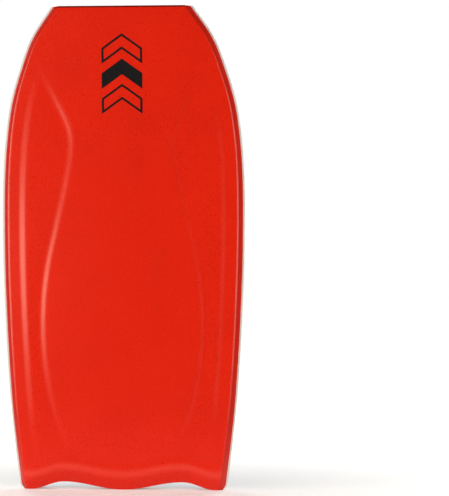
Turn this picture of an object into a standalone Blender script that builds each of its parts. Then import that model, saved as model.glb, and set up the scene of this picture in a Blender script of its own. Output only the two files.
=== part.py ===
"""A 42 inch bodyboard, built up in layers the way the real one is laminated.

The board is drawn in its own frame: x across it, y from the tail's lobes to the nose, and z from
the slick bottom, which lies on z = 0, up to the deck. The empty called stand then turns it upright,
so that the nose points up (+Z), the deck faces -Y and the slick faces +Y. All sizes are in metres.
"""

import math

import bmesh
import bpy
from mathutils import Vector

# Overall sizes
BOARD_LENGTH = 1.067
BOARD_WIDTH = 0.540
BOARD_THICKNESS = 0.055
NOSE_THICKNESS = 0.043
TAIL_THICKNESS = 0.050

# Rocker, which is how far the bottom lifts from flat towards the nose and the tail
NOSE_ROCKER = 0.038
NOSE_ROCKER_LENGTH = 0.430
TAIL_ROCKER = 0.003
TAIL_ROCKER_LENGTH = 0.180

# Plan outline, as shares of the length from the tail and of the half width
OUTLINE = (
    (0.00, 0.853),
    (0.18, 0.934),
    (0.40, 0.986),
    (0.58, 1.000),
    (0.70, 0.985),
    (0.80, 0.934),
    (0.88, 0.841),
    (0.94, 0.744),
    (1.00, 0.580),
)
TAIL_CORNER_RADIUS = 0.015
SCOOP_CENTRE = 0.132
SCOOP_DEPTH = 0.017

# Layers, from the bottom up
SLICK_THICKNESS = 0.0010
BACKING_THICKNESS = 0.0030
MESH_THICKNESS = 0.0008
MESH_TRIM = 0.0025
DECK_THICKNESS = 0.0050

# Rails: the white strip takes this share of the thickness, and the chine the rest
RAIL_SHARE = 0.66
RAIL_REACH = 0.024
RAIL_THICKNESS = 0.0040
RAIL_BREAK_IN = 0.0145
RAIL_BREAK_UP = 0.0050
RAIL_WALL = 0.0035
CHINE_REACH = 0.014
CHINE_THICKNESS = 0.0040

# Ends: the end strips, how far the bottom layers stop short of the board's edge, and the band along
# the tail that is pressed down until only a thin wall of the core's height is left above the rails
END_STRIP_THICKNESS = 0.0050
SLICK_END_MARGIN = 0.0090
BACKING_END_MARGIN = 0.0052
TAIL_BAND_LENGTH = 0.040
TAIL_BAND_WALL = 0.001

# Deck contour: the raised middle's half width at shares of the length, and the arm hollows' depth
CONTOUR = ((0.10, 0.125), (0.20, 0.165), (0.35, 0.178), (0.52, 0.152), (0.72, 0.114), (0.88, 0.172))
ARM_HOLLOW_DEPTH = 0.0022
CONTOUR_SLOPE_WIDTH = 0.022
HOLLOW_SIDE_FADE = 0.060
HOLLOW_TAIL_START = 0.050
HOLLOW_TAIL_FADE = 0.150
HOLLOW_NOSE_START = 0.080
HOLLOW_NOSE_FADE = 0.120

# Tail channels in the bottom
CHANNEL_DEPTH = 0.0040
CHANNEL_LENGTH = 0.200
CHANNEL_CENTRE = 0.158
CHANNEL_HALF_WIDTH = 0.032

# Stringer, a tube bored into the core from its tail end
STRINGER_LENGTH = 0.770
STRINGER_RADIUS = 0.0060
STRINGER_WALL = 0.0010
STRINGER_START = 0.012
STRINGER_SIDES = 20
PLUG_STEM = 0.016
PLUG_HEAD = 0.003

# Clearance between touching pieces, and how finely the surfaces are cut up
GAP = 0.0003
LONG_ROW_STEP = 0.105
NOSE_ROW_STEP = 0.045
WAVE_FADE_START = 0.030
WAVE_FADE_LENGTH = 0.130
ROW_SPACE = 0.0005
SLOPE_STEP = 0.002
MERGE_DISTANCE = 0.00001
SHARP_ANGLE = 25
COLUMNS = (0.17, 0.34, 0.48, 0.60, 0.69, 0.78, 0.87, 0.94, 1.0)

HALF_WIDTH = BOARD_WIDTH / 2
RAIL_TOP = BOARD_THICKNESS * RAIL_SHARE
CHINE_FOOT = RAIL_TOP + GAP
BACKING_BOTTOM = SLICK_THICKNESS + GAP
BACKING_TOP = BACKING_BOTTOM + BACKING_THICKNESS
BOTTOM_MESH_LOW = BACKING_TOP + GAP
BOTTOM_MESH_TOP = BOTTOM_MESH_LOW + MESH_THICKNESS
CORE_BOTTOM = BOTTOM_MESH_TOP + GAP
DECK_BOTTOM = BOARD_THICKNESS - DECK_THICKNESS
DECK_MESH_TOP = DECK_BOTTOM - GAP
DECK_MESH_LOW = DECK_MESH_TOP - MESH_THICKNESS
CORE_TOP = DECK_MESH_LOW - GAP
TAIL_BAND_DROP = CORE_TOP - CHINE_FOOT - TAIL_BAND_WALL
CORE_END_MARGIN = END_STRIP_THICKNESS + GAP
BOTTOM_INSET = RAIL_REACH + GAP
TOP_INSET = CHINE_REACH + GAP
END_ROWS = (END_STRIP_THICKNESS, CORE_END_MARGIN, SLICK_END_MARGIN)
CORNER_ROWS = tuple(END_STRIP_THICKNESS / k for k in (8, 4, 2)) + (TAIL_CORNER_RADIUS,)
BAND_ROWS = (TAIL_BAND_LENGTH / 2, WAVE_FADE_START, TAIL_BAND_LENGTH)
STRINGER_HEIGHT = BOARD_THICKNESS / 2
DEPTH = max(BOARD_THICKNESS, NOSE_ROCKER + NOSE_THICKNESS)

RED = (0.74, 0.022, 0.008)
WHITE = (0.84, 0.83, 0.80)
BLACK = (0.012, 0.012, 0.013)
SILVER = (0.40, 0.42, 0.45)
FOAM = (0.88, 0.88, 0.85)
MESH_GREY = (0.62, 0.62, 0.60)
CARBON = (0.03, 0.03, 0.032)


def smooth(share):
    """Eases from 0 to 1, and stays there outside that range."""
    share = min(max(share, 0.0), 1.0)
    return share * share * (3 - 2 * share)


def through(points, at):
    """Height at one place of a smooth curve through (place, height) points."""
    last = len(points) - 1
    at = min(max(at, points[0][0]), points[-1][0])
    i = next(k for k in range(last) if at <= points[k + 1][0])
    (x0, y0), (x1, y1) = points[i], points[i + 1]

    def slope(k):
        before, after = points[max(k - 1, 0)], points[min(k + 1, last)]
        return (after[1] - before[1]) / (after[0] - before[0])

    span = x1 - x0
    t = (at - x0) / span
    return (
        y0 * (1 + 2 * t) * (1 - t) ** 2
        + y1 * t * t * (3 - 2 * t)
        + span * (slope(i) * t * (1 - t) ** 2 - slope(i + 1) * t * t * (1 - t))
    )


def half_width(y):
    """Half width of the board's outline at a distance from the tail."""
    return HALF_WIDTH * through(OUTLINE, y / BOARD_LENGTH)


TAIL_HALF = half_width(0)
WAVE_HALF = TAIL_HALF - RAIL_REACH


def edge_stretch(y):
    """How much longer an inset is measured straight across than square to the outline."""
    low, high = max(y - SLOPE_STEP, 0.0), min(y + SLOPE_STEP, BOARD_LENGTH)
    slope = (half_width(high) - half_width(low)) / (high - low)
    return math.sqrt(1 + slope * slope)


def side(y, inset):
    """Distance from the centre line of a line that runs inset inside the outline."""
    x = half_width(y) - inset * edge_stretch(y)
    into_corner = max(0.0, TAIL_CORNER_RADIUS - y)
    corner = into_corner**2 / (2 * TAIL_CORNER_RADIUS)
    return x - corner * max(0.0, 1 - inset / RAIL_REACH)


def tail_wave(x):
    """How far the tail's edge is cut in: three lobes, with a round scoop on each side."""
    away = min(abs(x), WAVE_HALF)
    if away < SCOOP_CENTRE:
        return SCOOP_DEPTH * (1 - math.cos(math.pi * away / SCOOP_CENTRE)) / 2
    turn = math.pi * (away - SCOOP_CENTRE) / (WAVE_HALF - SCOOP_CENTRE)
    return SCOOP_DEPTH * (1 + math.cos(turn)) / 2


def rocker(y):
    """Lift of the bottom at y."""
    nose = max(0.0, 1 - (BOARD_LENGTH - y) / NOSE_ROCKER_LENGTH)
    tail = max(0.0, 1 - y / TAIL_ROCKER_LENGTH)
    return NOSE_ROCKER * nose**2 + TAIL_ROCKER * tail**2


def thinning(y):
    """How much thinner the board is at y than in its middle."""
    nose = max(0.0, 1 - (BOARD_LENGTH - y) / NOSE_ROCKER_LENGTH)
    tail = max(0.0, 1 - y / TAIL_ROCKER_LENGTH)
    at_nose = BOARD_THICKNESS - NOSE_THICKNESS
    at_tail = BOARD_THICKNESS - TAIL_THICKNESS
    return at_nose * smooth(nose) + at_tail * smooth(tail)


def channel(x, y):
    """How deep the tail channels cut into the bottom at (x, y)."""
    across = 1 - abs(abs(x) - CHANNEL_CENTRE) / CHANNEL_HALF_WIDTH
    return CHANNEL_DEPTH * smooth(across) * smooth(1 - y / CHANNEL_LENGTH)


def place(x, y, height):
    """The point at (x, y), for a height in the middle of a board with no rocker."""
    upper = (height - BOTTOM_MESH_TOP) / (CORE_TOP - BOTTOM_MESH_TOP)
    upper = min(max(upper, 0.0), 1.0)
    lower = 1 - min(max((height - CORE_BOTTOM) / RAIL_TOP, 0.0), 1.0)
    band = (height - CHINE_FOOT) / (CORE_TOP - CHINE_FOOT)
    band = min(max(band, 0.0), 1.0)
    from_edge = (y - tail_wave(x)) / TAIL_BAND_LENGTH
    drop = TAIL_BAND_DROP * band * max(0.0, 1 - from_edge) ** 2
    lift = rocker(y) - thinning(y) * upper - drop + channel(x, y) * lower
    return Vector((x, y, height + lift))


def rows(start, end):
    """Distances from the tail's edge, from start to end, close together where the board curves."""
    rocker_start = BOARD_LENGTH - NOSE_ROCKER_LENGTH
    found = list(END_ROWS + CORNER_ROWS + BAND_ROWS) + [BOARD_LENGTH - y for y in END_ROWS]
    for low, high, step in (
        (TAIL_BAND_LENGTH, rocker_start, LONG_ROW_STEP),
        (rocker_start, BOARD_LENGTH, NOSE_ROW_STEP),
    ):
        count = max(2, round((high - low) / step))
        found += [low + (high - low) * (k + 1) / count for k in range(count)]
    return [start] + [y for y in sorted(found) if start + ROW_SPACE < y < end - ROW_SPACE] + [end]


def row_point(x, y, height):
    """A point on a row that follows the tail's wave near the tail."""
    fade = 1 - smooth((y - WAVE_FADE_START) / WAVE_FADE_LENGTH)
    return place(x, y + tail_wave(x) * fade, height)


def offset_path(path, distance):
    """The path moved inwards, square to its own runs, with mitred corners."""
    runs = [(b - a).normalized() for a, b in zip(path, path[1:])]
    normals = [Vector((run.y, -run.x)) for run in runs]
    moved = [path[0] + normals[0] * distance]
    for before, after, point in zip(normals, normals[1:], path[1:]):
        moved.append(point + (before + after) * distance / (1 + before.dot(after)))
    return moved + [path[-1] + normals[-1] * distance]


def at_height(a, b, height):
    """The point of the line from a to b at one height."""
    return Vector((a.x + (b.x - a.x) * (height - a.y) / (b.y - a.y), height))


def at_inset(a, b, inset):
    """The point of the line from a to b at one inset."""
    return Vector((inset, a.y + (b.y - a.y) * (inset - a.x) / (b.x - a.x)))


# The sides' outer faces, as (inset, height) from the slick's edge up to the deck
RAIL_PATH = [
    Vector((RAIL_REACH, 0)),
    Vector((RAIL_BREAK_IN, RAIL_BREAK_UP)),
    Vector((0, RAIL_TOP - RAIL_WALL)),
    Vector((0, RAIL_TOP)),
]
CHINE_PATH = [
    Vector((RAIL_THICKNESS, CHINE_FOOT)),
    Vector((CHINE_REACH, BOARD_THICKNESS)),
]


def material(name, colour, roughness, metallic=0.0):
    """A plain finish for one piece."""
    made = bpy.data.materials.new(name)
    made.use_nodes = True
    shader = made.node_tree.nodes["Principled BSDF"]
    shader.inputs["Base Color"].default_value = (*colour, 1)
    shader.inputs["Roughness"].default_value = roughness
    shader.inputs["Metallic"].default_value = metallic
    made.diffuse_color = (*colour, 1)
    return made


def add_object(name, bm, finish, stand):
    """Turns a finished bmesh into an object that stands with the rest of the board."""
    bmesh.ops.recalc_face_normals(bm, faces=bm.faces)
    mesh = bpy.data.meshes.new(name)
    bm.to_mesh(mesh)
    bm.free()
    mesh.materials.append(finish)
    mesh.shade_smooth()
    mesh.set_sharp_from_angle(angle=math.radians(SHARP_ANGLE))
    made = bpy.data.objects.new(name, mesh)
    bpy.context.scene.collection.objects.link(made)
    made.parent = stand
    return made


def loft(name, sections, finish, stand):
    """A solid through sections, each a lower and an upper line of the same number of points.

    Every face is split from the near section's outer point to the far section's inner one, so that
    layers that lie on each other match, on the left as on the right.
    """
    bm = bmesh.new()
    rows_made = [[[bm.verts.new(p) for p in line] for line in section] for section in sections]
    last = len(rows_made[0][0]) - 1
    for one, two in zip(rows_made, rows_made[1:]):
        for near, far in zip(one, two):
            for k in range(last):
                outer, inner = k, k + 1
                if abs(near[outer].co.x) < abs(near[inner].co.x):
                    outer, inner = inner, outer
                bm.faces.new((near[outer], near[inner], far[inner]))
                bm.faces.new((near[outer], far[inner], far[outer]))
        for k in (0, last):
            bm.faces.new((one[0][k], one[1][k], two[1][k], two[0][k]))
    for lower, upper in (rows_made[0], rows_made[-1]):
        for k in range(last):
            bm.faces.new((lower[k], lower[k + 1], upper[k + 1], upper[k]))
    return add_object(name, bm, finish, stand)


def across(y, inset):
    """Places across the board, from the inset line on one side to that on the other."""
    reach = side(y, inset) - GAP
    right = [share * reach for share in COLUMNS]
    return [-x for x in right[::-1]] + [0.0] + right


def arm_hollow(x, y):
    """How deep the deck is pressed in beside its raised middle."""
    beyond = smooth((abs(x) - through(CONTOUR, y / BOARD_LENGTH)) / CONTOUR_SLOPE_WIDTH)
    from_chine = smooth((side(y, CHINE_REACH) - abs(x)) / HOLLOW_SIDE_FADE)
    from_tail = smooth((y - HOLLOW_TAIL_START) / HOLLOW_TAIL_FADE)
    from_nose = smooth((BOARD_LENGTH - y - HOLLOW_NOSE_START) / HOLLOW_NOSE_FADE)
    return ARM_HOLLOW_DEPTH * beyond * from_chine * from_tail * from_nose


def no_hollow(x, y):
    """A plain surface."""
    return 0.0


def plate(name, heights, inset, margins, finish, stand, hollow=no_hollow):
    """A layer between two heights. margins are how far it stops short of the ends, low and high."""
    low, high = heights
    sections = []
    first, last = max(margins), BOARD_LENGTH - max(margins)
    for y in rows(first, last):
        lower_y = upper_y = y
        if y == first:
            lower_y, upper_y = margins
        if y == last:
            lower_y, upper_y = (BOARD_LENGTH - margin for margin in margins)
        lower = [row_point(x, lower_y, low) for x in across(lower_y, inset)]
        upper = [row_point(x, upper_y, high - hollow(x, y)) for x in across(upper_y, inset)]
        sections.append((lower, upper))
    return loft(name, sections, finish, stand)


def block(name, heights, ends, finish, stand):
    """A piece that fills the board between its rails and chines, from one end row to the other."""
    low, high = heights
    rail = offset_path(RAIL_PATH, RAIL_THICKNESS + GAP)
    chine = offset_path(CHINE_PATH, CHINE_THICKNESS + GAP)
    lower_side = [rail[2], rail[1], at_height(rail[0], rail[1], low)]
    upper_side = [rail[3], at_height(*chine, RAIL_TOP), at_height(*chine, high)]
    sections = []
    for y in rows(*ends):
        section = []
        for points, inset, height in (
            (lower_side, BOTTOM_INSET, low),
            (upper_side, TOP_INSET, high),
        ):
            right = [(side(y, point.x) - GAP, point.y) for point in points]
            left = [(-x, up) for x, up in right]
            middle = [(x, height) for x in across(y, inset)[1:-1]]
            section.append([row_point(x, y, up) for x, up in left + middle + right[::-1]])
        sections.append(section)
    return loft(name, sections, finish, stand)


def edge_strip(name, outer, inner, hand, finish, stand):
    """A strip along one side, between an outer and an inner path. hand is 1 for right, -1 for left."""
    sections = []
    for y in rows(0.0, BOARD_LENGTH):
        lines = [[place(hand * side(y, p.x), y, p.y) for p in path] for path in (outer, inner)]
        sections.append(lines)
    return loft(name, sections, finish, stand)


def turned(name, profile, height, finish, stand):
    """A piece turned round the stringer's axis from a closed profile of (radius, y) points."""
    bm = bmesh.new()
    points = [bm.verts.new((radius, y, height)) for radius, y in profile]
    edges = [bm.edges.new((points[k - 1], points[k])) for k in range(len(points))]
    bmesh.ops.spin(
        bm,
        geom=points + edges,
        cent=(0, 0, height),
        axis=(0, 1, 0),
        angle=math.tau,
        steps=STRINGER_SIDES,
        use_merge=True,
    )
    bmesh.ops.remove_doubles(bm, verts=bm.verts, dist=MERGE_DISTANCE)
    return add_object(name, bm, finish, stand)


def rod_profile(radius, start, end):
    """The closed profile of a solid rod."""
    return [(0, start), (radius, start), (radius, end), (0, end)]


def clear_scene():
    """Removes whatever the scene holds."""
    for old in list(bpy.data.objects):
        bpy.data.objects.remove(old, do_unlink=True)


def make_stand():
    """The empty that turns the board upright, with its origin under the middle of its box."""
    stand = bpy.data.objects.new("stand", None)
    bpy.context.scene.collection.objects.link(stand)
    stand.rotation_euler = (math.pi / 2, 0, 0)
    stand.location = (0, DEPTH / 2, 0)
    return stand


def make_layers(stand):
    """The skins, the meshes and the backing, from the bottom up."""
    ends = (CORE_END_MARGIN, CORE_END_MARGIN)
    net = material("reinforcing mesh", MESH_GREY, 0.6)
    silver = material("silver slick", SILVER, 0.3, 0.6)
    black = material("black foam", BLACK, 0.8)
    red = material("red deck foam", RED, 0.55)
    slick_ends = (SLICK_END_MARGIN, SLICK_END_MARGIN)
    backing_ends = (SLICK_END_MARGIN, BACKING_END_MARGIN)
    backing = (BACKING_BOTTOM, BACKING_TOP)
    bottom_mesh = (BOTTOM_MESH_LOW, BOTTOM_MESH_TOP)
    deck_mesh = (DECK_MESH_LOW, DECK_MESH_TOP)
    deck = (DECK_BOTTOM, BOARD_THICKNESS)
    plate("slick_skin", (0.0, SLICK_THICKNESS), BOTTOM_INSET, slick_ends, silver, stand)
    plate("slick_backing", backing, BOTTOM_INSET, backing_ends, black, stand)
    plate("bottom_mesh", bottom_mesh, BOTTOM_INSET, ends, net, stand)
    plate("deck_mesh", deck_mesh, TOP_INSET + GAP, (MESH_TRIM, MESH_TRIM), net, stand)
    plate("deck_skin", deck, TOP_INSET, (0.0, 0.0), red, stand, arm_hollow)


def make_core(stand):
    """The foam core, bored from its tail end for the stringer."""
    foam = material("white core foam", FOAM, 0.8)
    ends = (CORE_END_MARGIN, BOARD_LENGTH - CORE_END_MARGIN)
    core = block("foam_core", (CORE_BOTTOM, CORE_TOP), ends, foam, stand)
    depth = STRINGER_START + STRINGER_LENGTH + PLUG_HEAD + 2 * GAP
    profile = rod_profile(STRINGER_RADIUS + GAP, -STRINGER_START, depth)
    drill = turned("stringer_drill", profile, STRINGER_HEIGHT, foam, stand)
    drill.hide_render = True
    drill.display_type = "WIRE"
    bore = core.modifiers.new("stringer bore", "BOOLEAN")
    bore.operation = "DIFFERENCE"
    bore.solver = "EXACT"
    bore.object = drill


def make_stringer(stand):
    """The stringer tube, with a headed plug in each of its ends."""
    carbon = material("carbon tube", CARBON, 0.4)
    plastic = material("plug plastic", BLACK, 0.5)
    start, end = STRINGER_START, STRINGER_START + STRINGER_LENGTH
    bore = STRINGER_RADIUS - STRINGER_WALL
    walls = [(bore, start), (STRINGER_RADIUS, start), (STRINGER_RADIUS, end), (bore, end)]
    turned("stringer_tube", walls, STRINGER_HEIGHT, carbon, stand)
    stem = bore - GAP
    for name, seat, out in (("stringer_plug_tail", start, -1), ("stringer_plug_nose", end, 1)):
        under, top, tip = seat + out * GAP, seat + out * (GAP + PLUG_HEAD), seat - out * PLUG_STEM
        head = [(0, top), (STRINGER_RADIUS, top), (STRINGER_RADIUS, under)]
        turned(name, head + [(stem, under), (stem, tip), (0, tip)], STRINGER_HEIGHT, plastic, stand)


def make_sides(stand):
    """The white rail strip and the red chine strip of each side."""
    white = material("white rail foam", WHITE, 0.6)
    red = material("red chine foam", RED, 0.55)
    rail = offset_path(RAIL_PATH, RAIL_THICKNESS)
    rail_inner = [at_inset(rail[0], rail[1], RAIL_REACH)] + rail[1:]
    chine = offset_path(CHINE_PATH, CHINE_THICKNESS)
    chine_inner = [at_height(*chine, CHINE_FOOT), at_inset(*chine, CHINE_REACH)]
    for name, hand in (("left", -1), ("right", 1)):
        edge_strip(f"rail_strip_{name}", RAIL_PATH, rail_inner, hand, white, stand)
        edge_strip(f"chine_strip_{name}", CHINE_PATH, chine_inner, hand, red, stand)


def make_end_strips(stand):
    """The red strips that close the nose and the tail."""
    red = material("red end foam", RED, 0.55)
    heights = (BACKING_TOP + GAP, CORE_TOP)
    nose = (BOARD_LENGTH - END_STRIP_THICKNESS, BOARD_LENGTH)
    block("nose_strip", heights, nose, red, stand)
    block("tail_strip", heights, (0.0, END_STRIP_THICKNESS), red, stand)


clear_scene()
board_stand = make_stand()
make_layers(board_stand)
make_core(board_stand)
make_stringer(board_stand)
make_sides(board_stand)
make_end_strips(board_stand)
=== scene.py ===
import math

import bmesh
import bpy
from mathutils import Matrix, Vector


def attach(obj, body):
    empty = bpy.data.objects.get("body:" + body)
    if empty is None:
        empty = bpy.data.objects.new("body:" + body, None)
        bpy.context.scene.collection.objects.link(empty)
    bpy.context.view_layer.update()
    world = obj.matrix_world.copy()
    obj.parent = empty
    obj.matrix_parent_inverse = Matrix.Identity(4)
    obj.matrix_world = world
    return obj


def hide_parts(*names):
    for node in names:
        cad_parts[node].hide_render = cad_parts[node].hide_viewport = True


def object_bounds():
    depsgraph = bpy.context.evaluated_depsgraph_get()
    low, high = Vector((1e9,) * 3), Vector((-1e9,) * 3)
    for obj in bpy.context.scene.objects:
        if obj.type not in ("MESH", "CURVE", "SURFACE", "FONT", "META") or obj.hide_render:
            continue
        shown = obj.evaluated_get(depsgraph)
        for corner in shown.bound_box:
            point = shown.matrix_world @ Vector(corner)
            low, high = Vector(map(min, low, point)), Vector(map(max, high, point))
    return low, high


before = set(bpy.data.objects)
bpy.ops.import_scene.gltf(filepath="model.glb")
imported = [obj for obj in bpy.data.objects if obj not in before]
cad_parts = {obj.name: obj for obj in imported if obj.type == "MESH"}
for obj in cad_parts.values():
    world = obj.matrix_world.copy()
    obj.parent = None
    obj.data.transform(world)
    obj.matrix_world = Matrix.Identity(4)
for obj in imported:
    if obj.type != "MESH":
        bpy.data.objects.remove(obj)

# A 42 inch bodyboard standing on its tail, deck towards -Y, slick bottom towards +Y.
# Places on it are given as (x, y, height): x across, y from the tail, height up from the slick.
cadLow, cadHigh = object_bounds()

board = {
    "length": cadHigh.z,
    "halfWidth": cadHigh.x,
    "halfDepth": cadHigh.y,
    "thickness": 0.055,
    "noseThickness": 0.043,
    "tailThickness": 0.050,
    "noseRocker": 0.038,
    "noseRockerLength": 0.430,
    "tailRocker": 0.003,
    "tailRockerLength": 0.180,
    "cornerRadius": 0.015,
    "scoopCentre": 0.132,
    "scoopDepth": 0.017,
    "outline": (
        (0.00, 0.853), (0.18, 0.934), (0.40, 0.986), (0.58, 1.000), (0.70, 0.985),
        (0.80, 0.934), (0.88, 0.841), (0.94, 0.744), (1.00, 0.580),
    ),
}

layers = {
    "slickTop": 0.0010,
    "backingLow": 0.0013,
    "backingTop": 0.0043,
    "coreLow": 0.0057,
    "coreTop": 0.0486,
    "deckLow": 0.0500,
    "seam": 0.0001,
}

sides = {
    "railReach": 0.024,
    "railTop": 0.0363,
    "railWall": 0.0035,
    "railBreakIn": 0.0145,
    "railBreakUp": 0.005,
    "railThickness": 0.004,
    "chineReach": 0.014,
    "chineThickness": 0.004,
    "creaseRadius": 0.007,
    "creaseSteps": 6,
    # the rail's rounded corners, and the narrow ledge under the chine
    "railRadii": (0, 0.004, 0.002, 0.0008, 0),
    "ledge": 0.0012,
}

ends = {
    "stripThickness": 0.005,
    "slickMargin": 0.009,
    "backingMargin": 0.0052,
    "bandLength": 0.040,
    "bandDrop": 0.011,
    "waveFadeStart": 0.030,
    "waveFadeLength": 0.130,
}

channels = {"depth": 0.004, "length": 0.200, "centre": 0.158, "halfWidth": 0.032}

# Rows along the board, close together at both ends, and how finely shapes are measured and merged
rowCount = 240
rowEase = 0.95
slopeStep = 0.002
mergeDistance = 0.000002


def smooth(share):
    share = min(max(share, 0.0), 1.0)
    return share * share * (3 - 2 * share)


def through(points, at):
    # height at one place of a smooth curve through (place, height) points
    last = len(points) - 1
    at = min(max(at, points[0][0]), points[-1][0])
    i = next(k for k in range(last) if at <= points[k + 1][0])
    (x0, y0), (x1, y1) = points[i], points[i + 1]

    def slope(k):
        before, after = points[max(k - 1, 0)], points[min(k + 1, last)]
        return (after[1] - before[1]) / (after[0] - before[0])

    span = x1 - x0
    t = (at - x0) / span
    ease = t * t * (3 - 2 * t)
    bend = slope(i) * t * (1 - t) ** 2 - slope(i + 1) * t * t * (1 - t)
    return y0 * (1 - ease) + y1 * ease + span * bend


def outlineHalf(y):
    return board["halfWidth"] * through(board["outline"], y / board["length"])


def sideAt(y, inset):
    # x of the line that runs inset inside the outline, rounded at the tail corner
    low, high = max(y - slopeStep, 0.0), min(y + slopeStep, board["length"])
    slope = (outlineHalf(high) - outlineHalf(low)) / (high - low)
    intoCorner = max(0.0, board["cornerRadius"] - y)
    corner = intoCorner**2 / (2 * board["cornerRadius"])
    rounding = corner * max(0.0, 1 - inset / sides["railReach"])
    return outlineHalf(y) - inset * math.sqrt(1 + slope * slope) - rounding


waveHalf = outlineHalf(0) - sides["railReach"]


def tailWave(x):
    # how far the tail's edge is cut in: three lobes with a round scoop on each side
    away = min(abs(x), waveHalf)
    centre = board["scoopCentre"]
    if away < centre:
        return board["scoopDepth"] * (1 - math.cos(math.pi * away / centre)) / 2
    turn = math.pi * (away - centre) / (waveHalf - centre)
    return board["scoopDepth"] * (1 + math.cos(turn)) / 2


def rowY(x, y):
    # a row that follows the tail's wave near the tail and runs straight across further up
    fade = 1 - smooth((y - ends["waveFadeStart"]) / ends["waveFadeLength"])
    return y + tailWave(x) * fade


def channelDepth(x, y):
    across = 1 - abs(abs(x) - channels["centre"]) / channels["halfWidth"]
    return channels["depth"] * smooth(across) * smooth(1 - y / channels["length"])


def place(x, y, height):
    # the board's rocker, its thinner ends, the tail band and the tail channels, then stood upright
    nose = max(0.0, 1 - (board["length"] - y) / board["noseRockerLength"])
    tail = max(0.0, 1 - y / board["tailRockerLength"])
    rocker = board["noseRocker"] * nose**2 + board["tailRocker"] * tail**2
    thinNose = (board["thickness"] - board["noseThickness"]) * smooth(nose)
    thinTail = (board["thickness"] - board["tailThickness"]) * smooth(tail)
    upper = (height - layers["coreLow"]) / (layers["coreTop"] - layers["coreLow"])
    lower = 1 - min(max((height - layers["coreLow"]) / sides["railTop"], 0.0), 1.0)
    band = (height - sides["railTop"]) / (layers["coreTop"] - sides["railTop"])
    fromEdge = max(0.0, 1 - (y - tailWave(x)) / ends["bandLength"])
    drop = ends["bandDrop"] * min(max(band, 0.0), 1.0) * fromEdge**2
    thinning = (thinNose + thinTail) * min(max(upper, 0.0), 1.0)
    z = height + rocker - thinning - drop + channelDepth(x, y) * lower
    return Vector((x, board["halfDepth"] - z, y))


def rowAt(index, start=0.0, end=0.0):
    # distance from the tail of one row, between margins left at the tail and at the nose
    t = index / rowCount
    share = t - rowEase * math.sin(2 * math.pi * t) / (2 * math.pi)
    return start + (board["length"] - start - end) * share


def spread(index, count, power=1.6):
    # -1 to 1 across the board, close together at both sides
    t = 2 * index / count - 1
    return math.copysign(1 - (1 - abs(t)) ** power, t)


def finishPiece(name, bm, material, sharp=35):
    # makes the object, shades it, and has it ride with the board
    bmesh.ops.remove_doubles(bm, verts=bm.verts, dist=mergeDistance)
    bmesh.ops.recalc_face_normals(bm, faces=bm.faces)
    mesh = bpy.data.meshes.new(name)
    bm.to_mesh(mesh)
    bm.free()
    mesh.materials.append(material)
    mesh.shade_smooth()
    mesh.set_sharp_from_angle(angle=math.radians(sharp))
    made = bpy.data.objects.new(name, mesh)
    bpy.context.scene.collection.objects.link(made)
    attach(made, "root")
    return made


def layerMesh(columns, rows, upperPoint, lowerPoint):
    # a flat grid given a thickness, then every point of both faces put where it belongs
    bm = bmesh.new()
    bmesh.ops.create_grid(bm, x_segments=columns, y_segments=rows, size=0.5)
    lifted = bmesh.ops.extrude_face_region(bm, geom=bm.faces[:])
    upper = {part for part in lifted["geom"] if isinstance(part, bmesh.types.BMVert)}
    for vert in bm.verts:
        column = round((vert.co.x + 0.5) * columns)
        row = round((vert.co.y + 0.5) * rows)
        vert.co = (upperPoint if vert in upper else lowerPoint)(column, row)
    return bm


def newMaterial(name, colour, roughness, metallic=0.0, specular=0.5, coat=0.0):
    material = bpy.data.materials.new(name)
    material.use_nodes = True
    material.diffuse_color = (*colour, 1)
    shader = material.node_tree.nodes["Principled BSDF"]
    shader.inputs["Base Color"].default_value = (*colour, 1)
    shader.inputs["Roughness"].default_value = roughness
    shader.inputs["Metallic"].default_value = metallic
    shader.inputs["Specular IOR Level"].default_value = specular
    shader.inputs["Coat Weight"].default_value = coat
    return material, material.node_tree.nodes, material.node_tree.links, shader


def objectCoords(nodes, links, scale=(1, 1, 1), turn=(0, 0, 0)):
    coords = nodes.new("ShaderNodeTexCoord")
    mapping = nodes.new("ShaderNodeMapping")
    mapping.inputs["Scale"].default_value = scale
    mapping.inputs["Rotation"].default_value = turn
    links.new(coords.outputs["Object"], mapping.inputs["Vector"])
    return mapping.outputs["Vector"]


def noise(nodes, links, vector, scale, detail=2.0, roughness=0.5):
    made = nodes.new("ShaderNodeTexNoise")
    made.inputs["Scale"].default_value = scale
    made.inputs["Detail"].default_value = detail
    made.inputs["Roughness"].default_value = roughness
    links.new(vector, made.inputs["Vector"])
    return made.outputs["Fac"]


def cells(nodes, links, vector, scale, feature="F1"):
    made = nodes.new("ShaderNodeTexVoronoi")
    made.feature = feature
    made.inputs["Scale"].default_value = scale
    links.new(vector, made.inputs["Vector"])
    return made.outputs["Distance"]


def ramp(nodes, links, value, stops):
    made = nodes.new("ShaderNodeValToRGB")
    while len(made.color_ramp.elements) < len(stops):
        made.color_ramp.elements.new(0.5)
    for element, (at, colour) in zip(made.color_ramp.elements, stops):
        element.position = at
        element.color = (*colour, 1)
    links.new(value, made.inputs["Fac"])
    return made.outputs["Color"]


def math2(nodes, links, operation, a, b):
    made = nodes.new("ShaderNodeMath")
    made.operation = operation
    for socket, value in zip(made.inputs, (a, b)):
        if isinstance(value, (int, float)):
            socket.default_value = value
        else:
            links.new(value, socket)
    return made.outputs["Value"]


def mapRange(nodes, links, value, low, high, toLow, toHigh):
    made = nodes.new("ShaderNodeMapRange")
    for name, number in (("From Min", low), ("From Max", high), ("To Min", toLow), ("To Max", toHigh)):
        made.inputs[name].default_value = number
    links.new(value, made.inputs["Value"])
    return made.outputs["Result"]


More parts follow.
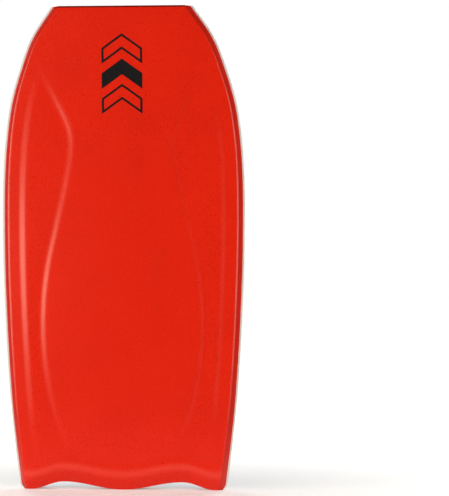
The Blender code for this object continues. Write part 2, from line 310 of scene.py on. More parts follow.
def blendColours(nodes, links, share, first, second):
    made = nodes.new("ShaderNodeMix")
    made.data_type = "RGBA"
    links.new(share, made.inputs["Factor"])
    links.new(first, made.inputs["A"])
    made.inputs["B"].default_value = (*second, 1)
    return made.outputs["Result"]


def addBump(nodes, links, shader, heights):
    # stacks bumps, each given as (height, distance in metres)
    normal = None
    for height, distance in heights:
        bump = nodes.new("ShaderNodeBump")
        bump.inputs["Strength"].default_value = 1.0
        bump.inputs["Distance"].default_value = distance
        links.new(height, bump.inputs["Height"])
        if normal is not None:
            links.new(normal, bump.inputs["Normal"])
        normal = bump.outputs["Normal"]
    links.new(normal, shader.inputs["Normal"])


foam = {
    "grainSize": 340,
    "fineGrainSize": 1100,
    "grainDepth": 0.00007,
    "fineGrainDepth": 0.00002,
    "patchSize": 9,
    "gloss": 0.4,
    # width and softness of the painted shade along the nose's edge
    "paintedShadeWidth": 0.0034,
    "paintedShadeSoft": 0.0006,
}


def foamMaterial(name, colour, dark, light, roughness, depth=1.0, edges=None):
    # closed-cell foam skin: pebbled grain, a finer grain on it, and soft patches of tone
    material, nodes, links, shader = newMaterial(name, colour, roughness, 0.0, foam["gloss"])
    vector = objectCoords(nodes, links)
    patches = noise(nodes, links, vector, foam["patchSize"], 4.0)
    grain = noise(nodes, links, vector, foam["grainSize"], 2.0)
    fine = cells(nodes, links, vector, foam["fineGrainSize"])
    tone = math2(nodes, links, "ADD", math2(nodes, links, "MULTIPLY", patches, 0.65), grain)
    tone = math2(nodes, links, "MULTIPLY", tone, 0.6)
    tint = ramp(nodes, links, tone, ((0.22, dark), (0.50, colour), (0.80, light)))
    if edges:
        # painted highlight: paler along the tail's ridge; painted shade: darker along the nose's edge
        paintedEdgeShade, paintedHighlight = edges
        bend = nodes.new("ShaderNodeAttribute")
        bend.attribute_name = "paintedRidgeHighlight"
        tint = blendColours(nodes, links, bend.outputs["Fac"], tint, paintedHighlight)
        # painted shade: a darker band along the nose's edge
        apart = nodes.new("ShaderNodeSeparateXYZ")
        links.new(vector, apart.inputs["Vector"])
        top = board["length"] - foam["paintedShadeWidth"]
        soft = foam["paintedShadeSoft"]
        share = mapRange(nodes, links, apart.outputs["Z"], top - soft, top + soft, 0.0, 1.0)
        tint = blendColours(nodes, links, share, tint, paintedEdgeShade)
    links.new(tint, shader.inputs["Base Color"])
    rough = mapRange(nodes, links, grain, 0.3, 0.7, roughness - 0.04, roughness + 0.06)
    links.new(rough, shader.inputs["Roughness"])
    addBump(
        nodes, links, shader,
        ((grain, foam["grainDepth"] * depth), (fine, foam["fineGrainDepth"] * depth)),
    )
    return material


deckRed = foamMaterial(
    "red deck foam", (0.73, 0.0140, 0.0014), (0.62, 0.0110, 0.0010), (0.80, 0.0180, 0.0024), 0.30,
    # its edges: a painted shade colour for the nose's edge, then a painted highlight colour for the tail's
    # ridge
    edges=((0.16, 0.0030, 0.0008), (0.78, 0.0380, 0.0200)),
)
# painted shade: the deck's red foam, made darker for the sloping chine
chineRedPaintedShade = foamMaterial(
    "red chine foam", (0.58, 0.0110, 0.0014), (0.50, 0.0090, 0.0010), (0.64, 0.0140, 0.0022), 0.32, 0.6
)
# painted shade: the red foam of the nose and tail end faces, made much darker
endRedPaintedShade = foamMaterial(
    "red end foam with painted shade", (0.30, 0.0100, 0.0060), (0.22, 0.0070, 0.0040), (0.38, 0.0160, 0.0100), 0.50, 0.6
)
railWhite = foamMaterial(
    "white rail foam", (0.82, 0.815, 0.79), (0.76, 0.755, 0.73), (0.86, 0.855, 0.83), 0.45, 0.5
)
backingBlack = foamMaterial(
    "black backing foam", (0.012, 0.012, 0.013), (0.008, 0.008, 0.009), (0.022, 0.022, 0.024), 0.65
)


slick = {
    # nose, middle and tail colours: a painted reflection, warm grey at the nose and bluish at the tail
    "nose": (0.325, 0.285, 0.245),
    "middle": (0.410, 0.405, 0.400),
    "tail": (0.400, 0.470, 0.580),
    "rippleWidth": 0.011,
    "rippleDepth": 0.0005,
    "rippleTop": 0.92,
    "rippleFade": 0.004,
    "rippleSlant": 0.8,
    "rippleRun": 16.0,
    "rippleLeft": 0.12,
    "rippleTone": 0.14,
    "patchTone": 0.12,
}


def slickMaterial():
    # silver pearl sheet: fine ripples that run down to the centre line, smooth near the nose, and a painted
    # reflection: warm grey towards the nose, bluish towards the tail
    material, nodes, links, shader = newMaterial("silver slick sheet", slick["middle"], 0.30, 0.2, 0.5, 0.25)
    shader.inputs["Coat Roughness"].default_value = 0.12
    coords = nodes.new("ShaderNodeTexCoord")
    apart = nodes.new("ShaderNodeSeparateXYZ")
    links.new(coords.outputs["Object"], apart.inputs["Vector"])
    across = math2(nodes, links, "ABSOLUTE", apart.outputs["X"], 0)
    up = apart.outputs["Z"]
    slant = math2(nodes, links, "MULTIPLY", across, slick["rippleSlant"])
    slanted = math2(nodes, links, "SUBTRACT", up, slant)
    join = nodes.new("ShaderNodeCombineXYZ")
    links.new(math2(nodes, links, "MULTIPLY", slanted, 1 / slick["rippleWidth"]), join.inputs["X"])
    links.new(math2(nodes, links, "MULTIPLY", apart.outputs["X"], slick["rippleRun"]), join.inputs["Y"])
    ripple = noise(nodes, links, join.outputs["Vector"], 1.0, 3.0, 0.55)
    low, high = slick["rippleTop"] - slick["rippleFade"], slick["rippleTop"] + slick["rippleFade"]
    below = mapRange(nodes, links, up, low, high, 1.0, slick["rippleLeft"])
    ripple = math2(nodes, links, "MULTIPLY", ripple, below)
    vector = objectCoords(nodes, links)
    patches = noise(nodes, links, vector, 7.0, 3.0)
    fine = noise(nodes, links, vector, 900, 2.0)
    # painted reflection: colour runs from bluish at the tail to warm grey at the nose, with random patches
    # and the ripples on it
    height = mapRange(nodes, links, up, 0.0, board["length"], 0.0, 1.0)
    height = math2(nodes, links, "ADD", height, math2(nodes, links, "MULTIPLY", patches, slick["patchTone"]))
    height = math2(nodes, links, "ADD", height, math2(nodes, links, "MULTIPLY", ripple, slick["rippleTone"]))
    tint = ramp(
        nodes, links, height,
        ((0.10, slick["tail"]), (0.42, slick["middle"]), (0.78, slick["nose"])),
    )
    links.new(tint, shader.inputs["Base Color"])
    rough = mapRange(nodes, links, fine, 0.3, 0.7, 0.26, 0.36)
    links.new(rough, shader.inputs["Roughness"])
    addBump(nodes, links, shader, ((ripple, slick["rippleDepth"]), (fine, 0.00001)))
    return material


slickSilver = slickMaterial()


core = {"beadSize": 0.0045, "beadDepth": 0.0005}


def coreMaterial():
    # white beaded foam: rounded beads pressed together, with fine dimples where they meet
    material, nodes, links, shader = newMaterial("white beaded foam", (0.84, 0.84, 0.81), 0.6)
    stops = ((0.0, (0.66, 0.66, 0.62)), (0.12, (0.82, 0.82, 0.79)), (0.5, (0.88, 0.88, 0.86)))
    vector = objectCoords(nodes, links)
    bead = cells(nodes, links, vector, 1 / core["beadSize"])
    edge = cells(nodes, links, vector, 1 / core["beadSize"], "DISTANCE_TO_EDGE")
    fine = noise(nodes, links, vector, 1500, 2.0)
    links.new(ramp(nodes, links, edge, stops), shader.inputs["Base Color"])
    links.new(mapRange(nodes, links, edge, 0.0, 0.3, 0.75, 0.5), shader.inputs["Roughness"])
    dome = mapRange(nodes, links, bead, 0.0, 0.8, 1.0, 0.0)
    addBump(nodes, links, shader, ((dome, core["beadDepth"]), (fine, 0.00004)))
    return material


net = {"pitch": 0.0062, "threadShare": 0.26, "threadDepth": 0.0004}


def netMaterial():
    # reinforcing net: pale threads crossing square to each other, welded in a clear film
    material, nodes, links, shader = newMaterial("pale reinforcing net", (0.62, 0.62, 0.60), 0.45)
    coords = nodes.new("ShaderNodeTexCoord")
    apart = nodes.new("ShaderNodeSeparateXYZ")
    links.new(coords.outputs["Object"], apart.inputs["Vector"])
    threads = []
    for axis in ("X", "Z"):
        along = math2(nodes, links, "PINGPONG", apart.outputs[axis], net["pitch"] / 2)
        reach = net["pitch"] / 2 * net["threadShare"]
        threads.append(mapRange(nodes, links, along, 0.0, reach, 1.0, 0.0))
    crossing = math2(nodes, links, "MAXIMUM", *threads)
    knot = math2(nodes, links, "MULTIPLY", *threads)
    height = math2(nodes, links, "ADD", crossing, math2(nodes, links, "MULTIPLY", knot, 0.5))
    stops = ((0.0, (0.36, 0.36, 0.35)), (0.4, (0.60, 0.60, 0.58)), (1.0, (0.74, 0.74, 0.72)))
    links.new(ramp(nodes, links, crossing, stops), shader.inputs["Base Color"])
    links.new(mapRange(nodes, links, crossing, 0.0, 1.0, 0.28, 0.5), shader.inputs["Roughness"])
    addBump(nodes, links, shader, ((height, net["threadDepth"]),))
    return material


carbon = {"tow": 0.0020, "weaveDepth": 0.00012}


def carbonMaterial():
    # carbon tube: flat tows wound both ways round it, under a satin resin
    material, nodes, links, shader = newMaterial("carbon weave", (0.030, 0.030, 0.032), 0.3, 0.0, 0.5, 0.6)
    shader.inputs["Coat Roughness"].default_value = 0.2
    coords = nodes.new("ShaderNodeTexCoord")
    checker = nodes.new("ShaderNodeTexChecker")
    mapping = nodes.new("ShaderNodeMapping")
    mapping.inputs["Rotation"].default_value = (0, math.radians(45), 0)
    links.new(coords.outputs["Object"], mapping.inputs["Vector"])
    links.new(mapping.outputs["Vector"], checker.inputs["Vector"])
    checker.inputs["Scale"].default_value = 1 / carbon["tow"]
    fibres = noise(nodes, links, mapping.outputs["Vector"], 2600, 2.0)
    weave = math2(nodes, links, "ADD", checker.outputs["Fac"], math2(nodes, links, "MULTIPLY", fibres, 0.4))
    links.new(
        ramp(nodes, links, weave, ((0.1, (0.018, 0.018, 0.020)), (0.9, (0.050, 0.050, 0.054)))),
        shader.inputs["Base Color"],
    )
    links.new(mapRange(nodes, links, weave, 0.0, 1.2, 0.26, 0.46), shader.inputs["Roughness"])
    addBump(nodes, links, shader, ((weave, carbon["weaveDepth"]),))
    return material


def plugMaterial():
    # moulded plastic: a fine spark-eroded grain with faint flow lines
    material, nodes, links, shader = newMaterial("black moulded plastic", (0.012, 0.012, 0.013), 0.42)
    vector = objectCoords(nodes, links)
    grain = noise(nodes, links, vector, 2200, 3.0)
    flow = noise(nodes, links, objectCoords(nodes, links, (40, 40, 400)), 1.0, 2.0)
    tone = math2(nodes, links, "ADD", grain, math2(nodes, links, "MULTIPLY", flow, 0.5))
    links.new(
        ramp(nodes, links, tone, ((0.5, (0.010, 0.010, 0.011)), (1.0, (0.022, 0.022, 0.024)))),
        shader.inputs["Base Color"],
    )
    links.new(mapRange(nodes, links, grain, 0.3, 0.7, 0.36, 0.52), shader.inputs["Roughness"])
    addBump(nodes, links, shader, ((grain, 0.00006),))
    return material


def finishInside():
    # the inner pieces keep their own shapes and only take a finish
    beads, netting, plastic = coreMaterial(), netMaterial(), plugMaterial()
    for node, material in (
        ("foam_core", beads),
        ("deck_mesh", netting),
        ("bottom_mesh", netting),
        ("stringer_tube", carbonMaterial()),
        ("stringer_plug_tail", plastic),
        ("stringer_plug_nose", plastic),
    ):
        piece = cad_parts[node]
        piece.data.materials.clear()
        piece.data.materials.append(material)


finishInside()


def inkMaterial(name, colour, light, roughness):
    # screen-printed ink that lets a little of the foam's grain through
    material, nodes, links, shader = newMaterial(name, colour, roughness, 0.0, 0.15)
    vector = objectCoords(nodes, links)
    grain = noise(nodes, links, vector, foam["grainSize"], 2.0)
    links.new(ramp(nodes, links, grain, ((0.35, colour), (0.70, light))), shader.inputs["Base Color"])
    rough = mapRange(nodes, links, grain, 0.3, 0.7, roughness - 0.05, roughness + 0.1)
    links.new(rough, shader.inputs["Roughness"])
    addBump(nodes, links, shader, ((grain, foam["grainDepth"] * 0.6),))
    return material


inkBlack = inkMaterial("black ink", (0.006, 0.006, 0.007), (0.012, 0.012, 0.013), 0.40)
inkOrange = inkMaterial("orange ink", (0.80, 0.17, 0.035), (0.88, 0.22, 0.06), 0.40)
inkGrey = inkMaterial("dark grey ink", (0.030, 0.032, 0.036), (0.042, 0.044, 0.048), 0.40)


print("materials made")


deck = {
    "columns": 120,
    # half width of the raised middle, at shares of the length
    "contour": (
        (0.04, 0.112), (0.10, 0.128), (0.18, 0.156), (0.27, 0.173), (0.36, 0.177), (0.45, 0.169),
        (0.55, 0.147), (0.64, 0.126), (0.71, 0.115), (0.75, 0.120), (0.80, 0.144), (0.86, 0.178),
        (0.92, 0.205),
    ),
    "contourDepth": 0.0023,
    "contourWidth": 0.015,
    "contourTail": (0.02, 0.16),
    "contourNose": (0.11, 0.14),
    "hollowRise": 0.0014,
    "hollowLeast": 0.02,
    "shoulderInset": 0.0325,
    "shoulderDepth": 0.0024,
    "shoulderWidth": 0.018,
    "shoulderTail": (0.03, 0.20),
    "shoulderTop": 0.90,
    "shoulderFade": 0.20,
    "noseRollLength": 0.012,
    "noseRollDrop": 0.0016,
    # the low ridge along the top of the tail band
    "ridgeUp": 0.040,
    "ridgeWidth": 0.022,
    "ridgeHeight": 0.0011,
    "ridgeFade": 0.02,
    # where a painted highlight lies along that ridge
    "paintedHighlightUp": 0.035,
    "paintedHighlightWidth": 0.015,
}


def fadeIn(distance, startAndLength):
    start, length = startAndLength
    return smooth((distance - start) / length)


def deckRelief(x, y):
    # how far the deck's surface lies below its plain height
    fromNose = board["length"] - y
    middle = through(deck["contour"], y / board["length"])
    fromCrease = sideAt(y, sides["chineReach"]) - abs(x)
    step = smooth((abs(x) - middle) / deck["contourWidth"] + 0.5)
    shoulder = smooth((deck["shoulderInset"] - fromCrease) / deck["shoulderWidth"] + 0.5)
    hollowWidth = abs(x) + fromCrease - deck["shoulderInset"] - middle
    rise = smooth((abs(x) - middle) / max(hollowWidth, deck["hollowLeast"]))
    contour = deck["contourDepth"] * step - deck["hollowRise"] * rise
    contour *= fadeIn(y, deck["contourTail"]) * fadeIn(fromNose, deck["contourNose"])
    fall = deck["shoulderDepth"] * shoulder * fadeIn(y, deck["shoulderTail"])
    fall *= smooth((deck["shoulderTop"] * board["length"] - y) / deck["shoulderFade"])
    toNose = max(0.0, 1 - fromNose / deck["noseRollLength"])
    toRidge = max(0.0, 1 - abs(y - deck["ridgeUp"]) / deck["ridgeWidth"])
    ridge = deck["ridgeHeight"] * smooth(toRidge) * smooth(fromCrease / deck["ridgeFade"])
    return contour + fall + deck["noseRollDrop"] * toNose**2 - ridge


chineRise = board["thickness"] - sides["railTop"]
chineAngle = math.atan2(chineRise, sides["chineReach"] - sides["railThickness"])
creaseTangent = sides["creaseRadius"] * math.tan(chineAngle / 2)
seamInset = creaseTangent - sides["creaseRadius"] * math.sin(chineAngle / 2)


def creaseRoll(fromCrease):
    # the rounded crease between deck and chine: how far the surface drops near the crease
    inside = max(0.0, creaseTangent - fromCrease)
    return sides["creaseRadius"] - math.sqrt(sides["creaseRadius"] ** 2 - inside**2)


def deckPoint(x, y, lift=0.0):
    fromCrease = sideAt(y, sides["chineReach"]) - abs(x)
    down = deckRelief(x, y) + creaseRoll(fromCrease)
    return place(x, rowY(x, y), board["thickness"] - down + lift)


def makeDeck():
    edge = sides["chineReach"] + seamInset + layers["seam"]

    def upperPoint(column, row):
        y = rowAt(row)
        return deckPoint(spread(column, deck["columns"]) * sideAt(y, edge), y)

    def lowerPoint(column, row):
        y = rowAt(row)
        x = spread(column, deck["columns"]) * sideAt(y, edge)
        return place(x, rowY(x, y), layers["deckLow"])

    bm = layerMesh(deck["columns"], rowCount, upperPoint, lowerPoint)
    # painted highlight along the tail's ridge, kept on each point for the deck's colour
    paintedRidgeHighlight = bm.verts.layers.float.new("paintedRidgeHighlight")
    for vert in bm.verts:
        fromEdge = vert.co.z - tailWave(vert.co.x)
        vert[paintedRidgeHighlight] = smooth(1 - abs(fromEdge - deck["paintedHighlightUp"]) / deck["paintedHighlightWidth"])
    made = finishPiece("deckSkin", bm, deckRed)
    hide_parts("deck_skin")


makeDeck()
print("deck made")


def roundPath(points, radii, steps=5):
    # the path with its inner corners rounded; also says which corner each point belongs to
    path, owner = [], []
    for k, (point, radius) in enumerate(zip(points, radii)):
        if radius == 0:
            path.append(point)
            owner.append(k)
            continue
        before, after = (points[k - 1] - point).normalized(), (points[k + 1] - point).normalized()
        reach = radius / math.tan(before.angle(after) / 2)
        start, end = point + before * reach, point + after * reach
        for step in range(steps + 1):
            t = step / steps
            path.append(start * (1 - t) ** 2 + point * 2 * t * (1 - t) + end * t**2)
            owner.append(k)
    return path, owner


def offsetPath(points, distance):
    # the path moved inwards, square to its own runs, with mitred corners
    runs = [(b - a).normalized() for a, b in zip(points, points[1:])]
    normals = [Vector((run.y, -run.x)) for run in runs]
    moved = [points[0] + normals[0] * distance]
    for before, after, point in zip(normals, normals[1:], points[1:]):
        moved.append(point + (before + after) * distance / (1 + before.dot(after)))
    return moved + [points[-1] + normals[-1] * distance]


def edgeStrip(name, outer, owner, inner, hand, material, lower=None):
    # a strip down one side; each outer point belongs to a corner of the inner path
    def point(inset, height, y):
        if lower:
            height -= lower(y, height)
        return place(hand * sideAt(y, inset), y, height)

    def outerPoint(column, row):
        return point(outer[column].x, outer[column].y, rowAt(row))

    def innerPoint(column, row):
        corner = inner[owner[column]]
        return place(hand * sideAt(rowAt(row), corner.x), rowAt(row), corner.y)

    bm = layerMesh(len(outer) - 1, rowCount, outerPoint, innerPoint)
    return finishPiece(name, bm, material)


railLine = [
    Vector((sides["railReach"], 0)),
    Vector((sides["railBreakIn"], sides["railBreakUp"])),
    Vector((0, sides["railTop"] - sides["railWall"])),
    Vector((0, sides["railTop"])),
]
chineFoot = sides["railTop"] + layers["seam"]
chineLine = [
    Vector((sides["railThickness"], chineFoot)),
    Vector((sides["chineReach"], board["thickness"])),
]


def makeRails():
    ledge = Vector((sides["ledge"], sides["railTop"]))
    outer, owner = roundPath(railLine + [ledge], sides["railRadii"])
    inner = offsetPath(railLine, sides["railThickness"])
    share = (sides["railReach"] - inner[0].x) / (inner[1].x - inner[0].x)
    inner[0] = inner[0].lerp(inner[1], share)
    inner.append(inner[3].copy())
    for word, hand in (("Left", -1), ("Right", 1)):
        rail = edgeStrip(f"railStrip{word}", outer, owner, inner, hand, railWhite)
        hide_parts(f"rail_strip_{word.lower()}")


def makeChines():
    radius = sides["creaseRadius"]
    centre = Vector((sides["chineReach"] + creaseTangent, board["thickness"] - radius))
    outer, steps = [chineLine[0]], sides["creaseSteps"]
    for step in range(steps + 1):
        turn = chineAngle * (1 - 0.5 * step / steps)
        outer.append(centre + Vector((-math.sin(turn), math.cos(turn))) * radius)
    inner = offsetPath(chineLine, sides["chineThickness"])
    run = inner[1] - inner[0]
    foot = inner[0] + run * (chineFoot - inner[0].y) / run.y
    top = inner[0] + run * (sides["chineReach"] - inner[0].x) / run.x
    owner = [0] + [1] * (steps + 1)

    def lower(y, height):
        # the crease follows the deck down where the deck's shoulder falls
        share = (height - chineFoot) / (board["thickness"] - chineFoot)
        return deckRelief(sideAt(y, sides["chineReach"]), y) * max(share, 0.0)

    for word, hand in (("Left", -1), ("Right", 1)):
        chine = edgeStrip(f"chineStrip{word}", outer, owner, [foot, top], hand, chineRedPaintedShade, lower)
        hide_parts(f"chine_strip_{word.lower()}")


makeRails()
makeChines()
print("rails and chines made")


def insetAtHeight(height):
    # how far in the end strips stop, which follows the inner faces of the rails and the chines
    rail = offsetPath(railLine, sides["railThickness"] + layers["seam"])
    chine = offsetPath(chineLine, sides["chineThickness"] + layers["seam"])
    if height > sides["railTop"]:
        low, high = chine
    elif height > rail[2].y:
        return rail[2].x
    else:
        low, high = rail[1:3] if height > rail[1].y else rail[0:2]
    return low.x + (high.x - low.x) * (height - low.y) / (high.y - low.y)


endStrip = {"columns": 120, "rows": 16}


def makeEndStrips():
    low, high = layers["backingTop"] + layers["seam"], layers["coreTop"]

    def stripPoint(y):
        def point(column, row):
            height = low + (high - low) * row / endStrip["rows"]
            x = spread(column, endStrip["columns"]) * (sideAt(y, insetAtHeight(height)) - layers["seam"])
            return place(x, rowY(x, y), height)

        return point

    thick = ends["stripThickness"]
    for name, node, outer, inner in (
        ("tailStrip", "tail_strip", 0.0, thick),
        ("noseStrip", "nose_strip", board["length"], board["length"] - thick),
    ):
        bm = layerMesh(endStrip["columns"], endStrip["rows"], stripPoint(outer), stripPoint(inner))
        # the end strips take the red foam darkened as painted shade
        made = finishPiece(name, bm, endRedPaintedShade)
        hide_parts(node)


makeEndStrips()
print("end strips made")


bottom = {"columns": 110, "edge": 0.0004}


def makeBottom():
    edge = sides["railReach"] + layers["seam"]

    def pointAt(height, margin, rounding=0.0):
        def point(column, row):
            y = rowAt(row, margin, margin)
            across = spread(column, bottom["columns"])
            atEdge = column in (0, bottom["columns"]) or row in (0, rowCount)
            x = across * sideAt(y, edge)
            return place(x, rowY(x, y), height + (rounding if atEdge else 0.0))

        return point

    slickMargin = ends["slickMargin"]
    bm = layerMesh(
        bottom["columns"], rowCount,
        pointAt(layers["slickTop"], slickMargin), pointAt(0.0, slickMargin, bottom["edge"]),
    )
    sheet = finishPiece("slickSkin", bm, slickSilver)
    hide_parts("slick_skin")
    bm = layerMesh(
        bottom["columns"], rowCount,
        pointAt(layers["backingTop"], ends["backingMargin"]), pointAt(layers["backingLow"], slickMargin),
    )
    backing = finishPiece("slickBacking", bm, backingBlack)
    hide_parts("slick_backing")


makeBottom()
print("bottom made")


marks = {
    "lift": 0.00004,
    "inkThickness": 0.00014,
    "cutEvery": 0.010,
    "arrowRise": 0.032,
    "deckHeight": 0.919,
    "deckWidth": 0.090,
    "deckArrow": 0.034,
    "deckPitch": 0.055,
    "deckLine": 0.0046,
    "slickHeight": 0.931,
    "slickWidth": 0.104,
    "slickArrow": 0.042,
    "slickPitch": 0.054,
    "slickLine": 0.0030,
    "panelGap": 0.0045,
}
scribble = {
    "middle": (0.036, 0.0385),
    "length": 0.132,
    "height": 0.015,
    "waves": 9,
    "thick": 0.0019,
    "thin": 0.0008,
    "steps": 260,
    "shrink": 0.55,
    "wander": 0.4,
    "lean": 0.0035,
    "taperLength": 0.03,
    "endWidth": 0.3,
}
bars = {
    "count": 6,
    "first": 0.052,
    "pitch": 0.0205,
    "middle": 0.0165,
    "length": 0.011,
    "width": 0.0048,
    "slant": 0.004,
}


def arrow(width, rise, depth, middle):
    # one chevron that points to the nose, as a closed outline
    half = width / 2
    low = middle - (rise + depth) / 2
    return (
        (-half, low), (0, low + rise), (half, low),
        (half, low + depth), (0, low + rise + depth), (-half, low + depth),
    )


def flatShape(bm, outline):
    face = bm.faces.new([bm.verts.new((x, y, 0)) for x, y in outline])
    face.normal_update()
    return face


def insetFace(bm, face, thickness):
    # leaves a rim round the face and returns the rim's faces
    inset = bmesh.ops.inset_region(
        bm, faces=[face], thickness=thickness, use_boundary=True, use_even_offset=True
    )
    return inset["faces"]


def cutToFollow(bm):
    # short faces, so that the ink lies on the curved surface
    for axis in (Vector((1, 0, 0)), Vector((0, 1, 0))):
        reach = [vert.co.dot(axis) for vert in bm.verts]
        at = math.floor(min(reach) / marks["cutEvery"]) * marks["cutEvery"]
        while at < max(reach):
            parts = bm.verts[:] + bm.edges[:] + bm.faces[:]
            bmesh.ops.bisect_plane(bm, geom=parts, dist=0.00001, plane_co=axis * at, plane_no=axis)
            at += marks["cutEvery"]


def inkPiece(name, bm, material, surface, layer=0):
    # a thin layer of ink: surface(x, y, lift) gives the place of each point
    cutToFollow(bm)
    lifted = bmesh.ops.extrude_face_region(bm, geom=bm.faces[:])
    upper = {part for part in lifted["geom"] if isinstance(part, bmesh.types.BMVert)}
    low = marks["lift"] + layer * (marks["inkThickness"] + marks["lift"])
    for vert in bm.verts:
        lift = low + (marks["inkThickness"] if vert in upper else 0.0)
        vert.co = surface(vert.co.x, vert.co.y, lift)
    finishPiece(name, bm, material)


def slickPoint(x, y, lift):
    return place(x, y, -lift)


def makeDeckMark():
    # three chevrons drawn in black line, the middle one filled
    for step, word in ((-1, "Low"), (0, "Middle"), (1, "High")):
        middle = marks["deckHeight"] + step * marks["deckPitch"]
        bm = bmesh.new()
        face = flatShape(bm, arrow(marks["deckWidth"], marks["arrowRise"], marks["deckArrow"], middle))
        insetFace(bm, face, marks["deckLine"])
        if word != "Middle":
            bmesh.ops.delete(bm, geom=[face], context="FACES_ONLY")
        inkPiece(f"deckArrow{word}", bm, inkBlack, deckPoint)


def makeSlickMark():
    # three chevrons: an orange border, a black body and a dark grey panel in each arm
    for step, word in ((-1, "Low"), (0, "Middle"), (1, "High")):
        middle = marks["slickHeight"] + step * marks["slickPitch"]
        bm = bmesh.new()
        face = flatShape(bm, arrow(marks["slickWidth"], marks["arrowRise"], marks["slickArrow"], middle))
        insetFace(bm, face, marks["slickLine"])
        body = [(vert.co.x, vert.co.y) for vert in face.verts]
        bmesh.ops.delete(bm, geom=[face], context="FACES_ONLY")
        inkPiece(f"slickArrowBorder{word}", bm, inkOrange, slickPoint)
        bm = bmesh.new()
        flatShape(bm, body)
        inkPiece(f"slickArrow{word}", bm, inkBlack, slickPoint)
        bm = bmesh.new()
        tips = sorted((p for p in body if abs(p[0]) < 0.001), key=lambda p: -p[1])
        for side in (-1, 1):
            arm = sorted((p for p in body if p[0] * side > 0.001), key=lambda p: p[1])
            panel = flatShape(bm, arm + tips)
            rim = insetFace(bm, panel, marks["panelGap"])
            bmesh.ops.delete(bm, geom=rim, context="FACES")
        inkPiece(f"slickPanels{word}", bm, inkGrey, slickPoint, layer=1)


def makeScribble():
    # a short wavy pen stroke near the tail, thick on its way down and thin on its way up
    bm = bmesh.new()
    bmesh.ops.create_grid(bm, x_segments=scribble["steps"], y_segments=1, size=0.5)

    def pathAt(t):
        fade = 1 - scribble["shrink"] * t
        turn = 2 * math.pi * scribble["waves"] * t
        swing = math.sin(turn) + scribble["wander"] * math.sin(5 * math.pi * t + 1)
        lean = scribble["lean"] * math.sin(turn + 1.2) * fade
        x = scribble["middle"][0] - scribble["length"] * (t - 0.5) + lean
        return Vector((x, scribble["middle"][1] + scribble["height"] / 2 * fade * swing))

    for vert in bm.verts:
        t, side = vert.co.x + 0.5, vert.co.y * 2
        run = (pathAt(t + 0.001) - pathAt(t - 0.001)).normalized()
        taper = smooth(t / scribble["taperLength"]) * smooth((1 - t) / scribble["taperLength"])
        wide = scribble["thin"] + (scribble["thick"] - scribble["thin"]) * max(0.0, -run.y)
        wide *= scribble["endWidth"] + (1 - scribble["endWidth"]) * taper
        spot = pathAt(t) + Vector((-run.y, run.x)) * side * wide / 2
        vert.co = (spot.x, spot.y, 0)
    inkPiece("slickScribble", bm, inkBlack, slickPoint)


def makeRailBars():
    # slanted black bars on the outer face of the left rail, near the tail
    foot, top = railLine[1], railLine[2]
    run = (top - foot).normalized()
    outward = Vector((-run.y, run.x))

    def surface(across, y, lift):
        spot = foot + run * across + outward * lift
        return place(-sideAt(y, spot.x), y, spot.y)

    for k in range(bars["count"]):
        y = bars["first"] + bars["pitch"] * k
        low, high = bars["middle"] - bars["length"] / 2, bars["middle"] + bars["length"] / 2
        bm = bmesh.new()
        flatShape(bm, (
            (low, y), (high, y + bars["slant"]),
            (high, y + bars["slant"] + bars["width"]), (low, y + bars["width"]),
        ))
        inkPiece(f"railBar{k + 1}", bm, inkBlack, surface)


makeDeckMark()
makeSlickMark()
makeScribble()
makeRailBars()
print("marks printed")


studio = {
    "distance": 4.0,
    "aim": (0.2250, 0.0, 0.5350),
    "turn": 3.6,
    "frameHeight": 1.0950,
    "floorSize": 14,
    # distances from the board, and the values at them
    "floorGlow": (0.3, 2.6, 0.16, 1.0),
    "floorBounceReach": (0.25, 0.75),
    "floorBounce": (0.80, 0.20),
    "ambient": 0.04,
}


def makeCamera():
    aim = Vector(studio["aim"])
    turn = math.radians(studio["turn"])
    back = Vector((math.sin(turn), -math.cos(turn), 0))
    data = bpy.data.cameras.new("camera")
    data.sensor_width = 36
    data.lens = data.sensor_width * studio["distance"] / studio["frameHeight"]
    camera = bpy.data.objects.new("camera", data)
    bpy.context.scene.collection.objects.link(camera)
    camera.location = aim + back * studio["distance"]
    camera.rotation_euler = (-back).to_track_quat("-Z", "Y").to_euler()
    bpy.context.scene.camera = camera


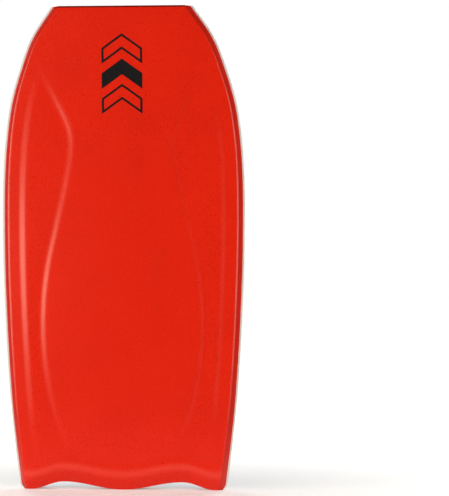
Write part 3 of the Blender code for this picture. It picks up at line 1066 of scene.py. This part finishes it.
def makeFloor():
    bm = bmesh.new()
    bmesh.ops.create_grid(bm, x_segments=1, y_segments=1, size=studio["floorSize"])
    mesh = bpy.data.meshes.new("floor")
    bm.to_mesh(mesh)
    bm.free()
    floor = bpy.data.objects.new("floor", mesh)
    bpy.context.scene.collection.objects.link(floor)
    material, nodes, links, shader = newMaterial("floor paper", (0.86, 0.86, 0.86), 0.9, specular=0.1)
    coords = nodes.new("ShaderNodeTexCoord")
    away = nodes.new("ShaderNodeVectorMath")
    away.operation = "LENGTH"
    links.new(coords.outputs["Object"], away.inputs[0])
    glow = nodes.new("ShaderNodeEmission")
    links.new(mapRange(nodes, links, away.outputs["Value"], *studio["floorGlow"]), glow.inputs["Strength"])
    ray = nodes.new("ShaderNodeLightPath")
    both = nodes.new("ShaderNodeAddShader")
    seen = nodes.new("ShaderNodeMixShader")
    dim = nodes.new("ShaderNodeBsdfDiffuse")
    near, far = studio["floorBounce"]
    reach = mapRange(nodes, links, away.outputs["Value"], *studio["floorBounceReach"], 0.0, 1.0)
    links.new(ramp(nodes, links, reach, ((0.0, (near,) * 3), (1.0, (far,) * 3))), dim.inputs["Color"])
    links.new(shader.outputs["BSDF"], both.inputs[0])
    links.new(glow.outputs["Emission"], both.inputs[1])
    links.new(ray.outputs["Is Camera Ray"], seen.inputs["Fac"])
    links.new(dim.outputs["BSDF"], seen.inputs[1])
    links.new(both.outputs["Shader"], seen.inputs[2])
    links.new(seen.outputs["Shader"], nodes["Material Output"].inputs["Surface"])
    mesh.materials.append(material)


def makeWorld():
    world = bpy.data.worlds.new("studio")
    bpy.context.scene.world = world
    world.use_nodes = True
    nodes, links = world.node_tree.nodes, world.node_tree.links
    background = nodes["Background"]
    background.inputs["Color"].default_value = (1, 1, 1, 1)
    ray = nodes.new("ShaderNodeLightPath")
    strength = nodes.new("ShaderNodeMapRange")
    strength.inputs["To Min"].default_value = studio["ambient"]
    strength.inputs["To Max"].default_value = 1.0
    links.new(ray.outputs["Is Camera Ray"], strength.inputs["Value"])
    links.new(strength.outputs["Result"], background.inputs["Strength"])


def softbox(name, azimuth, distance, height, width, tall, power, colour=(1, 1, 1)):
    # a softbox standing at an azimuth round the board, where 0 is in front of the deck
    turn = math.radians(azimuth)
    data = bpy.data.lights.new(name, "AREA")
    data.shape = "RECTANGLE"
    data.size, data.size_y = width, tall
    data.energy = power
    data.color = colour
    box = bpy.data.objects.new(name, data)
    bpy.context.scene.collection.objects.link(box)
    box.location = (math.sin(turn) * distance, -math.cos(turn) * distance, height)
    facing = Vector((0, 0, 0.5)) - box.location
    box.rotation_euler = facing.to_track_quat("-Z", "Y").to_euler()
    box.visible_camera = False


def makeLights():
    warm, mild = (1.0, 0.82, 0.60), (1.0, 0.95, 0.89)
    softbox("key left", -36, 1.7, 0.48, 0.16, 0.38, 6.6, warm)
    softbox("key right", 38, 1.7, 0.46, 0.16, 0.44, 3.6, warm)
    softbox("low right", 38, 0.9, 0.07, 0.14, 0.12, 0.22, warm)
    softbox("wall left", -66, 2.2, 0.55, 1.15, 1.70, 46, mild)
    softbox("wall right", 62, 2.2, 0.55, 1.15, 1.70, 34, mild)
    softbox("overhead", 5, 1.1, 2.4, 1.2, 0.8, 8)
    softbox("back left", 150, 2.2, 0.9, 0.9, 1.4, 28)
    softbox("back right", -150, 2.2, 0.9, 0.9, 1.4, 28)


makeCamera()
makeFloor()
makeWorld()
makeLights()
bpy.context.scene.view_settings.view_transform = "Standard"
print("studio made")
